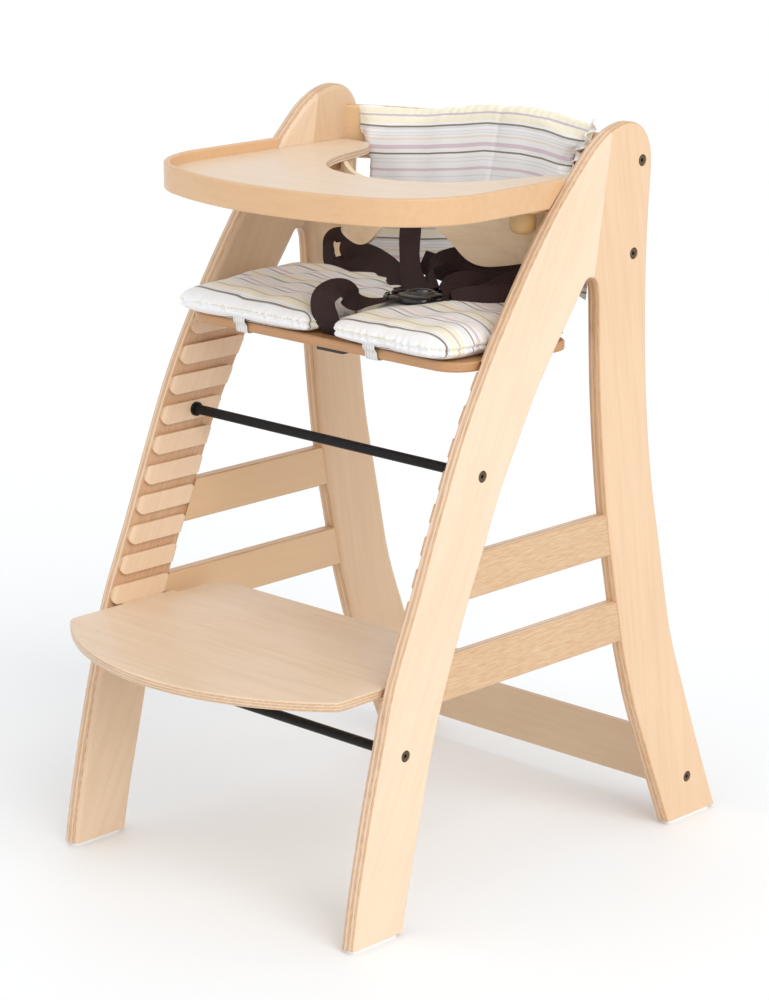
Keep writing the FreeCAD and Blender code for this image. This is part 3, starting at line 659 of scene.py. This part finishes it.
on_top = np.clip(height / 0.012, 0, 1) * (1 - np.exp(-inset / 0.02))
shift = 0.0011 * pleat * near - 0.0024 * seam + 0.0021 * swell * on_top
shift += on_top * 0.003 * np.clip((spots[:, 1] - at(0, 200, 0)[1]) / 0.1, 0, 1)
spots += facing * shift[:, None]
spots[:, 2] = np.maximum(spots[:, 2], seat_rest)
cover.vertices.foreach_set("co", spots.astype(np.float32).ravel())
cover.update()
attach(seat, "frame")
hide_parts("seat_cushion")

thread = speckled("cream_thread", (0.72, 0.64, 0.36), 0.8, 900, 0.0001)
ring = np.concatenate([seat_outline, seat_outline[:1]])
out = np.roll(seat_outline, 1, 0) - np.roll(seat_outline, -1, 0)
out = np.stack([-out[:, 1], out[:, 0], np.zeros(many)], 1)
out /= np.linalg.norm(out, axis=1)[:, None]
out = np.concatenate([out, out[:1]])


def on_surface(mesh, path, out, reach):
    """The path's points moved in against their outward directions until they meet the mesh."""
    tree = mathutils.bvhtree.BVHTree.FromPolygons([tuple(spot) for spot in read_points(mesh)],
                                                  [tuple(face.vertices) for face in mesh.polygons])
    landed = []
    for spot, way in zip(path, out):
        hit = tree.ray_cast(mathutils.Vector(spot + way * reach), mathutils.Vector(-way), reach * 2)[0]
        landed.append(spot if hit is None else np.array(hit))
    return np.array(landed)


fine = np.linspace(0, many, many * 5)
stitch_high = seat_seam + 0.0032
dense = np.column_stack([rows_at(fine, np.arange(many + 1), ring), np.full(len(fine), stitch_high)])
dense_out = rows_at(fine, np.arange(many + 1), out)
sewing = stitched("seat_pad_stitching", on_surface(cover, dense, dense_out, 0.014), dense_out, thread)
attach(sewing, "frame")


# ---- back cushion --------------------------------------------------------------------------------
# A thinner pad of the same cloth that follows the bow of the backrest. It is wider at the top, and
# the surplus of its binding stands in folded ruffles down its right edge.
bolt_y, half_thick, bolt_inset, bow_depth = 432.5, 5.25, 2.8, 48.0
bow_middle = bolt_y - half_thick - bolt_inset + bow_depth - bow_mm
lean = (bolt_y - 421.3) / (709.8 - 625.5)
boards_top, cloth_gap = 769.8, 0.5
back_low, back_high = 596.0, 785.0
left_heights = np.array([596, 692, 718, 728, 748, 758, 776, 790])
left_halves = np.array([175, 173, 174, 177, 184, 188, 189, 189])
right_heights = np.array([596, 690, 714, 728, 746, 762, 790])
right_halves = np.array([162, 157, 132, 118, 123, 138, 150])


def back_half(x, z):
    """Half width of the back pad at height z, on the side that x is on, read off straight lines."""
    return np.where(x < 0, np.interp(z, left_heights, left_halves), np.interp(z, right_heights, right_halves))


def back_lift(x):
    """How far the cloth has been pulled up at x: down at the left end, up past the middle."""
    return np.interp(x, [-190, -140, -90, -50, -15, 40, 75, 115, 160], [-10, -8.5, -5, 0, 5.5, 8, 7, 2, -1])


def bow_axis(z):
    """How far back the axis of the leaning bow is at height z."""
    return bow_middle - cloth_gap + (z - boards_top) * lean


def on_bow(x, z, inwards):
    """The place across x and up z on the leaning bow, inwards millimetres in front of the boards:
    a circle about the bow's axis, with the radius less inwards."""
    return at(x, bow_axis(z) + np.sqrt((bow_mm - inwards) ** 2 - x ** 2), z)


def grid_faces(index):
    """The four-cornered faces between the neighbours of a grid of vertex numbers."""
    return np.stack([index[:-1, :-1], index[:-1, 1:], index[1:, 1:], index[1:, :-1]], -1).reshape(-1, 4)


back_stripes = [(0, olive), (1.8, cotton_grey)] + first_stripes[2:] + [
    (21, pink), (25.5, cotton_white), (30, olive), (31.8, cotton_white), (36, cotton_grey),
    (37, cotton_white), (40, cotton_grey), (41, cotton_white), (47, pink), (50, cotton_white),
    (56, cotton_grey), (57, cotton_white), (66, olive), (67.5, cotton_white), (88, pink), (91, cotton_white),
    (98, olive), (99.5, cotton_white), (105, cream), (112, lilac), (114, cream), (121.5, cotton_white)]
across = np.linspace(-1, 1, 81)[None]
up = np.linspace(0, 1, 47)[:, None]
z_back = back_low + (back_high - back_low) * up + 0 * across
half_back = back_half(across + 0 * z_back, z_back)
x_back = across * half_back
edge = np.minimum.reduce([half_back - np.abs(x_back), z_back - back_low + 0.5, back_high + 0.5 - z_back])
thick_back = 3.2 + 9.0 * (1 - np.exp(-edge / 13))
board_gap = 0.8
front_side = on_bow(x_back, z_back, board_gap + thick_back)
rear_side = on_bow(x_back, z_back, board_gap + 0 * x_back)
total = x_back.size
index = np.arange(total).reshape(x_back.shape)
quads = grid_faces(index)
loop = np.concatenate([index[0, :-1], index[:-1, -1], index[-1, :0:-1], index[:0:-1, 0]])
follow = np.roll(loop, -1)
band = np.stack([loop, loop + total, follow + total, follow], -1)
back = new_piece("back_pad", np.concatenate([front_side.reshape(-1, 3), rear_side.reshape(-1, 3)]),
                 np.concatenate([quads, quads[:, ::-1] + total, band]),
                 striped("back_striped_cotton", float(at(0, 0, 760.5)[2]), 124.0, back_stripes))
cover = stuffed(back, 0.0042, lambda points: points, 3.0, 0.005)
spots = read_points(cover)
facing = read_points(cover, "normal")
x = spots[:, 0] * 1000
y = spots[:, 1] * 1000 + toe_ahead
z = spots[:, 2] * 1000 - glide_high
lay_cloth(cover, spots[:, 0], spots[:, 2])
middle = bow_axis(z)
reach = np.hypot(x, y - middle)
front_share = np.clip((454 - reach) / 9, 0, 1)
half = back_half(x, z)
edge = np.minimum.reduce([half - np.abs(x), z - back_low, back_high - z])
fold = np.sin(x * 0.066 + 0.9 * np.sin(z * 0.031)) + 0.55 * np.sin(x * 0.124 + z * 0.021 + 1.7)
gathers = np.sin(x * 0.52 + 1.5 * np.sin(x * 0.11)) * np.exp(-np.abs(back_high - 7 - z) / 6)
gathers += np.sin(z * 0.6 + 1.2 * np.sin(z * 0.17)) * np.exp(-np.abs(half - 7 - np.abs(x)) / 6)
crease = -1.9 * np.exp(-((x + 3 - 0.06 * (z - 700)) / 3.6) ** 2) * np.clip((z - 640) / 60, 0, 1)
seam = -1.5 * np.exp(-((edge - 6.5) / 1.5) ** 2)
shift = (1.3 * fold * (1 - np.exp(-np.maximum(edge, 0) / 22)) + 0.7 * gathers + crease + seam) * front_share
spots += facing * (shift / 1000)[:, None]
past = np.maximum(np.hypot(spots[:, 0] * 1000, y - middle) - 454.3, 0)
spots[:, 1] -= past / 1000
spots[:, 2] += back_lift(x) / 1000
cover.vertices.foreach_set("co", spots.astype(np.float32).ravel())
cover.update()
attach(back, "frame")
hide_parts("back_cushion")

binding = speckled("white_binding", (0.80, 0.80, 0.80), 0.85, 700, 0.0002)
t = np.linspace(0, 1, 141)[:, None]
w = np.linspace(0, 1, 9)[None]
z_frill = 786 - 92 * t + 0 * w
ruffles = t * 2 * math.pi * 6
wave = np.sin(ruffles + 0.8 * np.sin(t * 13)) * np.clip(np.minimum(t, 1 - t) * 9, 0.1, 1)
inward = 6 + 4.0 * np.sin(ruffles) * w + 4.5 * wave * w
right_side = np.ones_like(z_frill)
x_frill = back_half(right_side, z_frill) - 4 + w * (8 + 2.0 * np.sin(t * 27 + 1)) - 3.0 * np.abs(wave) * w
z_frill = z_frill + 2.0 * wave * w
frill = new_piece("back_pad_ruffle", on_bow(x_frill, z_frill, inward),
                  grid_faces(np.arange(z_frill.size).reshape(z_frill.shape)), binding)
solid = frill.modifiers.new("cloth", "SOLIDIFY")
solid.thickness = 0.0011
solid.offset = 0
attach(frill, "frame")


# ---- cushion ties --------------------------------------------------------------------------------
# Two white ribbed elastic bands sewn to the seat cushion's front seam. They go down round the front
# edge of the seat board and back under it.
def smooth_path(rows, steps):
    """A path through rows of equal weight, by a Catmull-Rom curve: each span is the cubic that leaves
    and meets its ends in the direction of the neighbours."""
    rows = np.asarray(rows, float)
    far = np.concatenate([2 * rows[:1] - rows[1:2], rows, 2 * rows[-1:] - rows[-2:-1]])
    a, b, c, d = far[:-3, None], far[1:-2, None], far[2:-1, None], far[3:, None]
    t = np.linspace(0, 1, steps, endpoint=False)[None, :, None]
    curve = 2 * b + (c - a) * t + (2 * a - 5 * b + 4 * c - d) * t ** 2 + (3 * b - a - 3 * c + d) * t ** 3
    curve = 0.5 * curve
    return np.concatenate([curve.reshape(-1, rows.shape[1]), rows[-1:]])


def flat_strap(name, rows, profile, material, steps=12):
    """A strap: the profile (across, above) in millimetres is carried along the path. Each row is a
    point and the direction that the strap's face looks. Its flat layer says how far across and
    along the strap each corner lies, in metres."""
    path = smooth_path([tuple(point) + tuple(face) for point, face in rows], steps)
    middle = at(path[:, 0], path[:, 1], path[:, 2])
    along = np.gradient(middle, axis=0)
    along /= np.linalg.norm(along, axis=1)[:, None]
    face = path[:, 3:] - along * (path[:, 3:] * along).sum(1)[:, None]
    face /= np.linalg.norm(face, axis=1)[:, None]
    side = np.cross(along, face)
    profile = np.array(profile) / 1000
    points = middle[:, None] + side[:, None] * profile[None, :, :1] + face[:, None] * profile[None, :, 1:]
    n, m = len(path), len(profile)
    k = np.arange(n - 1)[:, None]
    j = np.arange(m)[None]
    after = (j + 1) % m
    faces = np.stack([k * m + j, k * m + after, (k + 1) * m + after, (k + 1) * m + j], -1).reshape(-1, 4)
    run = np.concatenate([[0], np.cumsum(np.linalg.norm(np.diff(middle, axis=0), axis=1))])
    u = np.concatenate([profile[:, 0], profile[:1, 0]])
    corners = [np.stack([u[j + over] + 0 * k, run[k + on] + 0 * j], -1)
               for over, on in ((0, 0), (1, 0), (1, 1), (0, 1))]
    uv = np.concatenate([np.stack(corners, 2).reshape(-1, 2), np.zeros((2 * m, 2))])
    ends = [tuple(range(m))[::-1], tuple(range((n - 1) * m, n * m))]
    return new_piece(name, points, faces.tolist() + ends, material, uv=uv)


elastic, tree, shader = new_material("ribbed_elastic")
# The ribs are drawn in colour only: the grooves between them are painted shade, darker grey on the white
# band.
ribs = value_node(tree, "MULTIPLY", axis_value(tree, uv_socket(tree, "weave"), "X"), 520.0)
painted_groove_shade = value_node(tree, "POWER", value_node(tree, "PINGPONG", ribs, 1.0), 3.0)
tree.links.new(blend_node(tree, painted_groove_shade, (0.80, 0.80, 0.80), (0.50, 0.50, 0.52)), shader.inputs["Base Color"])
shader.inputs["Roughness"].default_value = 0.8
elastic_form = [(-8.5, 0), (-8.2, 0.5), (8.2, 0.5), (8.5, 0), (8.2, -0.5), (-8.2, -0.5)]
for place, x in (("left", -108.0), ("right", 84.0)):
    rows = [((x, 166.5, 581), (0, -1, 0.2)), ((x, 165.8, 574), (0, -1, 0)), ((x, 169.3, 569), (0, -1, 0)),
            ((x, 170.3, 563), (0, -1, -0.1)), ((x, 174, 560.9), (0, -0.4, -1)), ((x, 190, 561.2), (0, 0, -1)),
            ((x, 280, 561.2), (0, 0, -1)), ((x, 366, 561.2), (0, 0, -1))]
    tie = flat_strap(place + "_cushion_tie", rows, elastic_form, elastic, 8)
    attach(tie, "frame")
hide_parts("cushion_ties")


# ---- harness -------------------------------------------------------------------------------------
# Five straps of dark brown polyester webbing, 26 mm wide, twill woven with a thicker selvedge. They
# come through the seat board and the back cushion and meet in the buckle. Four more lengths are the
# slack ends and folds that lie beside them.
twill, tree, shader = new_material("brown_webbing")
weave = uv_socket(tree, "weave")
v = axis_value(tree, weave, "Y")
diagonal = value_node(tree, "ADD", value_node(tree, "ABSOLUTE", axis_value(tree, weave, "X")), v)
cord = value_node(tree, "PINGPONG", value_node(tree, "MULTIPLY", diagonal, 780.0), 1.0)
pick = value_node(tree, "PINGPONG", value_node(tree, "MULTIPLY", v, 1500.0), 1.0)
height = value_node(tree, "MULTIPLY_ADD", pick, 0.4, cord)
lit = value_node(tree, "MULTIPLY", height, 0.7)
shade = blend_node(tree, lit, (0.009, 0.005, 0.005), (0.090, 0.056, 0.055))
tree.links.new(shade, shader.inputs["Base Color"])
shader.inputs["Roughness"].default_value = 0.75
shader.inputs["Specular IOR Level"].default_value = 0.12
raise_surface(tree, shader, height, 0.7, 0.0006)
web_upper = [(-12.8, 0.7), (-12, 1.0), (-11, 0.85), (-6, 0.8), (0, 0.8), (6, 0.8), (11, 0.85), (12, 1.0),
             (12.8, 0.7)]
web_form = [(-13, 0)] + web_upper + [(13, 0)] + [(across, -above) for across, above in web_upper[::-1]]
straps = {
    "crotch_strap": [
        ((12, 190, 561), (0, -1, 0)), ((11, 190, 574), (0.1, -1, 0)), ((7, 185, 588), (0.4, -1, 0.1)),
        ((5, 180, 601), (0.6, -0.8, 0.1)), ((7, 178, 612), (0.6, -0.8, 0.2)),
        ((10, 182, 619), (0.5, -0.6, 0.6)), ((13, 192, 623), (0.5, -0.3, 0.8)),
        ((15, 203, 619), (0.8, -0.2, 0.5)), ((14, 210, 612), (0.9, -0.3, 0.2)),
        ((18, 217, 605), (0.6, -0.2, 0.8)), ((28, 225, 605), (0.2, 0, 1)),
        ((44, 236, 608.5), (0.1, 0.1, 1)), ((60, 247, 612), (0, 0, 1))],
    "left_waist_strap": [
        ((-160, 357, 574), (0, -1, 0)), ((-160, 358, 598), (-0.2, -1, 0)),
        ((-169, 363, 610), (-0.2, -1, 0)), ((-174, 367, 621), (-0.3, -0.95, 0)),
        ((-174, 371, 629), (-0.2, -0.7, 0.5)), ((-168, 377, 632), (0.2, -0.5, 0.9)),
        ((-157, 382, 632), (0.3, -0.5, 0.9)), ((-147, 380, 627), (0.6, -0.6, 0.5)),
        ((-140, 369, 620), (0.67, -0.7, 0.3)), ((-116, 360, 620), (0.67, -0.7, 0.2)),
        ((-80, 346, 620), (0.67, -0.7, 0.3)), ((-40, 326, 617), (0.6, -0.7, 0.3)),
        ((2, 300, 613), (0.5, -0.5, 0.7)), ((30, 279, 611.5), (0.2, -0.2, 1)),
        ((50, 264, 612), (0, 0, 1))],
    "left_shoulder_strap": [
        ((-134, 458.5, 697.6), (0, 0, 1)), ((-134, 448, 690), (0, -0.5, 1)),
        ((-133, 434, 683), (0, -0.4, 1)), ((-120, 410, 682), (0, -0.6, 1)),
        ((-84, 382, 682), (0.3, -0.8, 0.6)), ((-48, 360, 676), (0.4, -0.9, 0.4)),
        ((-30, 348, 665), (0.3, -0.9, 0.2)), ((-20, 337, 648), (0.3, -0.9, 0.2)),
        ((-2, 318, 632), (0.3, -0.9, 0.2)), ((20, 297, 621), (0.4, -0.8, 0.5)),
        ((50, 277, 614), (0.2, -0.3, 1))],
    "right_waist_strap": [
        ((168, 357, 574), (0, 1, 0)), ((168, 357.5, 606), (0.2, -1, 0)),
        ((164, 353, 621), (0.4, -0.8, 0.4)), ((152, 338, 629), (0.67, -0.7, 0.3)),
        ((138, 322, 624), (0.67, -0.7, 0.3)), ((124, 304, 615), (0.6, -0.6, 0.5)),
        ((110, 284, 609), (0.3, -0.3, 1)), ((92, 266, 612), (0, 0, 1))],
    "right_shoulder_strap": [
        ((134, 458.5, 697.6), (0, 0, 1)), ((134, 428, 697), (0, 0, 1)), ((134, 412, 684), (0, -0.8, 0.6)),
        ((128, 398, 660), (0.4, -0.8, 0.4)), ((110, 386, 641), (0.6, -0.7, 0.3)),
        ((80, 373, 634), (0.67, -0.7, 0.2)), ((60, 362, 634), (0.67, -0.7, 0.1)),
        ((43, 350, 636), (0.67, -0.7, 0.1)), ((33, 336, 633), (0.5, -0.8, 0.1)),
        ((33, 318, 627), (-0.2, -0.9, 0.3)), ((40, 300, 620), (-0.5, -0.7, 0.4)),
        ((60, 279, 614), (-0.1, -0.2, 1))],
    "left_fold": [
        ((-150, 366, 612), (0.2, -0.4, 1)), ((-136, 358, 609), (0.5, -0.5, 0.6)),
        ((-112, 349, 609), (0.6, -0.7, 0.3)), ((-75, 334, 610), (0.6, -0.6, 0.4)),
        ((-34, 312, 609), (0.3, -0.3, 0.9)), ((0, 293, 607), (0.1, -0.1, 1))],
    "rear_fold": [
        ((-20, 356, 624), (0.6, -0.7, 0.3)), ((10, 352, 622), (0.67, -0.7, 0.2)),
        ((44, 346, 619), (0.67, -0.7, 0.2)), ((78, 342, 617), (0.67, -0.7, 0.2)),
        ((110, 346, 617), (0.67, -0.7, 0.2)), ((146, 356, 618), (0.6, -0.7, 0.3))],
    "right_loop": [
        ((96, 262, 612), (0, 0, 1)), ((101, 266, 616), (0.9, -0.4, 0.3)),
        ((99, 274, 622), (0.8, -0.6, 0.1)), ((98, 286, 626), (0.6, -0.5, 0.6)),
        ((100, 297, 627), (0.6, -0.3, 0.8)), ((106, 310, 622), (0.8, -0.4, 0.4)),
        ((116, 320, 611), (0.6, -0.5, 0.6))],
    "right_fold": [
        ((112, 262, 611), (0.4, -0.7, 0.6)), ((124, 272, 615), (0.6, -0.7, 0.3)),
        ((138, 287, 616), (0.67, -0.7, 0.2)), ((152, 306, 616), (0.67, -0.7, 0.2)),
        ((166, 326, 618), (0.67, -0.7, 0.2)), ((172, 344, 612), (0.6, -0.7, 0.3))]}
for name, rows in straps.items():
    piece = flat_strap(name.replace("_strap", "_webbing"), rows, web_form, twill)
    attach(piece, "frame")
    if name.endswith("_strap"):
        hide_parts(name)

# ---- strap anchors -------------------------------------------------------------------------------
# Flat black moulded plates that stop the shoulder straps behind the backrest and the crotch strap
# under the seat board.
dress(speckled("matt_black_plastic", (0.02, 0.02, 0.021), 0.5, 800, 0.00005), "shoulder_strap_anchors",
      "crotch_strap_anchor")

# ---- buckle --------------------------------------------------------------------------------------
# Glossy black moulded buckle: a rounded shield with a raised ring, in which the round push button
# stands. Five tongues plug into its sides, one for each strap.
gloss_black = speckled("gloss_black_plastic", (0.004, 0.004, 0.0045), 0.14, 500, 0.00002, 0.0, 0.3, 0.04, 0.4)


def lathe_like(name, centre, rings, material, power=2.0, around=72, stretch=(1.0, 1.0), turn=0.0):
    """Rings of one rounded-square family about an upright axis: at angle a the outline's reach is
    (|cos a|^p + |sin a|^p)^(-1/p) times the ring's size, at the ring's height. The outline is
    stretched along its two axes and then turned."""
    a = np.linspace(0, 2 * math.pi, around, endpoint=False)
    reach = (np.abs(np.cos(a)) ** power + np.abs(np.sin(a)) ** power) ** (-1 / power)
    size = np.array([ring[0] for ring in rings])[:, None]
    level = np.array([ring[1] for ring in rings])[:, None]
    long = size * reach * np.cos(a) * stretch[0]
    wide = size * reach * np.sin(a) * stretch[1]
    points = at(centre[0] + long * math.cos(turn) - wide * math.sin(turn),
                centre[1] + long * math.sin(turn) + wide * math.cos(turn), level + 0 * a)
    n = len(rings)
    k = np.arange(n - 1)[:, None] * around
    j = np.arange(around)[None]
    after = (j + 1) % around
    faces = np.stack([k + j, k + after, k + around + after, k + around + j], -1).reshape(-1, 4).tolist()
    ends = [tuple(range(around))[::-1], tuple(range((n - 1) * around, n * around))]
    return new_piece(name, points, faces + ends, material)


buckle_x, buckle_y = 70.0, 258.0
shield = lathe_like("buckle_shield", (buckle_x, buckle_y),
                    [(20, 606), (22, 606.2), (22.9, 607.4), (23, 610.5), (22.5, 613), (21, 614.8),
                     (18.5, 616), (16.4, 616.3), (15.4, 616.9), (14.6, 617.8), (13.4, 618.2), (12.2, 617.9),
                     (11.4, 617.0), (11.0, 615.8), (9.62, 615.4), (9.6, 611.4), (2, 611.3)], gloss_black, 3.2)
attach(shield, "frame")
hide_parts("buckle_body")
button = lathe_like("buckle_push_button", (buckle_x, buckle_y),
                    [(8.9, 613.3), (9.4, 613.4), (9.5, 613.6), (9.5, 616.8), (9.3, 617.4), (8.7, 617.8),
                     (6.5, 617.7), (3, 617.3), (0.5, 617.2)], gloss_black)
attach(button, "button")
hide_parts("buckle_button")


def tongue(name, angle):
    """A tongue: a flat rounded plate, with a thicker crossbar at its outer end that the strap folds
    round. It points to the middle of the buckle from the angle given, in degrees."""
    turn = math.radians(angle)
    away = np.array([math.cos(turn), math.sin(turn)])
    for label, out_by, half_long, half_wide, low, high in (("plate", 27.0, 9.5, 9.5, 608.4, 612.6),
                                                         ("bar", 35.5, 2.6, 14.0, 607.6, 614.0)):
        middle = np.array([buckle_x, buckle_y]) + away * out_by
        rings = [(0.86, low), (0.97, low + 0.5), (1, low + 1.2),
                 (1, high - 1.2), (0.97, high - 0.5), (0.86, high)]
        piece = lathe_like(name + "_" + label, middle, rings, gloss_black, 5.0, 48,
                           (half_long, half_wide), turn)
        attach(piece, "frame")


for strap, angle in (("left_waist", 163), ("left_shoulder", 128), ("right_waist", 22), ("right_shoulder", 96),
                     ("crotch", 217)):
    tongue(strap + "_tongue", angle)
